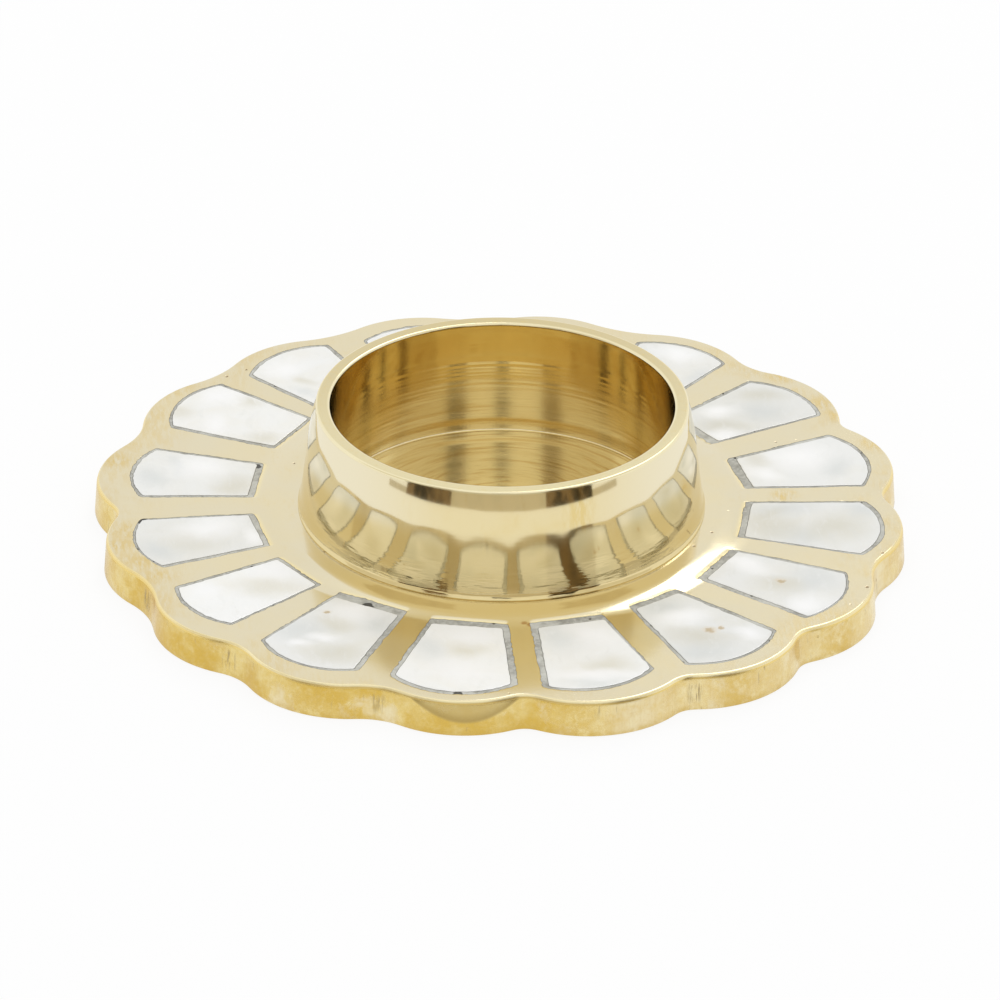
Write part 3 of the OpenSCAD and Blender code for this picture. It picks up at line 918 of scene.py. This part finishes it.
def studio_floor():
    """A white floor that nearly glows where it is looked at or mirrored, and still takes shadows."""
    bm = bmesh.new()
    bmesh.ops.create_grid(bm, x_segments=1, y_segments=1, size=FLOOR_HALF)
    bmesh.ops.translate(bm, verts=bm.verts, vec=(0, 0, -FLOOR_DROP))
    f = Finish("white floor")
    looked, mirrored, through = (
        f.node("ShaderNodeLightPath", {}, out=ray)
        for ray in ("Is Camera Ray", "Is Glossy Ray", "Is Transmission Ray"))
    seen = looked.most(mirrored).most(through)
    glow = f.node("ShaderNodeEmission", {}, (1, 1, 1), 1.0)
    matt = f.node("ShaderNodeBsdfDiffuse", {}, FLOOR_TONE)
    f.surface(f.node("ShaderNodeMixShader", {}, seen * FLOOR_GLOW, matt, glow))
    stage_piece("studio_floor", bm, f.material)


def studio_world():
    """White all round where it is looked at or mirrored, a little dimmer as light on the object."""
    world = bpy.data.worlds.new("white studio")
    bpy.context.scene.world = world
    world.use_nodes = True
    tree = world.node_tree
    path = tree.nodes.new("ShaderNodeLightPath")
    seen = tree.nodes.new("ShaderNodeMath")
    seen.operation = "MAXIMUM"
    tree.links.new(path.outputs["Is Camera Ray"], seen.inputs[0])
    tree.links.new(path.outputs["Is Glossy Ray"], seen.inputs[1])
    level = tree.nodes.new("ShaderNodeMapRange")
    tree.links.new(seen.outputs[0], level.inputs["Value"])
    level.inputs["To Min"].default_value = WALL_GLOW
    level.inputs["To Max"].default_value = 1.0
    tree.links.new(level.outputs["Result"], tree.nodes["Background"].inputs["Strength"])
    tree.nodes["Background"].inputs["Color"].default_value = (1, 1, 1, 1)


def card_finish(name, first, second):
    """A card's own tone, blotched so that its reflection isn't flat."""
    f = Finish(name)
    blotch = f.cloud(0.035, 3.0, 0.6, f.stretched(1.0, 1.0, 0.5)).between(0.42, 0.58)
    f.surface(f.node("ShaderNodeEmission", {}, blotch.blend(first, second), 1.0))
    return f.material


def card(name, finish, first, last, low, high, reach):
    """A card bent round the object on the camera's side, seen only in reflections; angles in degrees."""
    bm = bmesh.new()
    turn = Matrix.Rotation(math.radians(CAMERA_TURN + first), 3, "Z")
    foot = turn @ Vector((0, -reach, 0))
    ends = [dish_top + reach * math.tan(math.radians(rise)) for rise in (low, high)]
    verts = [bm.verts.new(at_height(foot, max(z, CARD_FOOT))) for z in ends]
    edge = bm.edges.new(verts)
    bmesh.ops.spin(bm, geom=verts + [edge], cent=(0, 0, 0), axis=(0, 0, 1),
                   angle=math.radians(last - first), steps=CARD_STEPS)
    piece = stage_piece(name, bm, finish)
    for kind in ("camera", "diffuse", "shadow", "transmission", "volume_scatter"):
        setattr(piece, "visible_" + kind, False)


def softbox(name, azimuth, elevation, distance, width, height, power, mirrored=True):
    """A lamp that faces the object; lengths in metres."""
    data = bpy.data.lights.new(name, "AREA")
    data.shape = "RECTANGLE"
    data.size, data.size_y = width, height
    data.energy = power
    lamp = bpy.data.objects.new(name, data)
    back = direction(azimuth, elevation)
    lamp.location = back * distance
    lamp.rotation_euler = back.to_track_quat("Z", "Y").to_euler()
    lamp.visible_glossy = mirrored
    bpy.context.scene.collection.objects.link(lamp)


def photo_camera():
    turn, roll = math.radians(CAMERA_TURN), math.radians(CAMERA_ROLL)
    right = Vector((math.cos(turn), math.sin(turn), 0))
    back = direction(CAMERA_TURN, CAMERA_RISE)
    up = back.cross(right)
    place = Vector((0, 0, dish_top)) + back * CAMERA_DISTANCE - right * CAMERA_LEFT + up * CAMERA_UP
    across = right * math.cos(roll) + up * math.sin(roll)
    upright = up * math.cos(roll) - right * math.sin(roll)
    data = bpy.data.cameras.new("photo_camera")
    data.lens = CAMERA_LENS
    data.sensor_width = SENSOR_WIDTH
    data.clip_start, data.clip_end = 0.05, 20
    camera = bpy.data.objects.new("photo_camera", data)
    turned = Matrix((across, upright, back)).transposed().to_4x4()
    camera.matrix_world = Matrix.Translation(place) @ turned
    bpy.context.scene.collection.objects.link(camera)
    bpy.context.scene.camera = camera


studio_floor()
studio_world()
room = card_finish("room side card", (0.64, 0.58, 0.47), (0.60, 0.55, 0.45))
pale_room = card_finish("pale side card", (0.84, 0.80, 0.71), (0.78, 0.74, 0.66))
bright_room = card_finish("upper room card", (1.0, 0.99, 0.96), (0.94, 0.93, 0.90))
dark_room = card_finish("dark side card", (0.06, 0.05, 0.035), (0.24, 0.17, 0.10))
dark_lens = card_finish("camera card", (0.012, 0.011, 0.010), (0.03, 0.027, 0.022))
card("room_card", room, -29, 26, -4, 20, ROOM_REACH)
card("upper_card", bright_room, -29, 26, 20, 44, ROOM_REACH)
card("left_dark_card", dark_room, -53, -27, -4, 9, DARK_REACH)
card("right_dark_card", dark_room, 24, 50.5, -4, 16, DARK_REACH)
card("left_tall_card", dark_room, -42, -29, 22, 34, DARK_REACH)
card("right_tall_card", dark_room, 26, 40, 16, 34, DARK_REACH)
card("left_room_card", pale_room, -88, -29, 9, 52, ROOM_REACH)
card("right_room_card", pale_room, 40, 86, 16, 52, ROOM_REACH)
card("left_low_card", room, -64, -53, -4, 1.5, ROOM_REACH)
card("right_low_card", room, 50.5, 66, -4, 2.0, ROOM_REACH)
card("camera_card", dark_lens, -4.5, 4.5, 24.5, 32, LENS_REACH)
softbox("top_softbox", 0, 88, 1.1, 1.0, 1.0, 4.0, mirrored=False)
softbox("back_softbox", 160, 47, 1.0, 0.32, 0.38, 1.0)
photo_camera()
bpy.context.scene.view_settings.view_transform = "Standard"
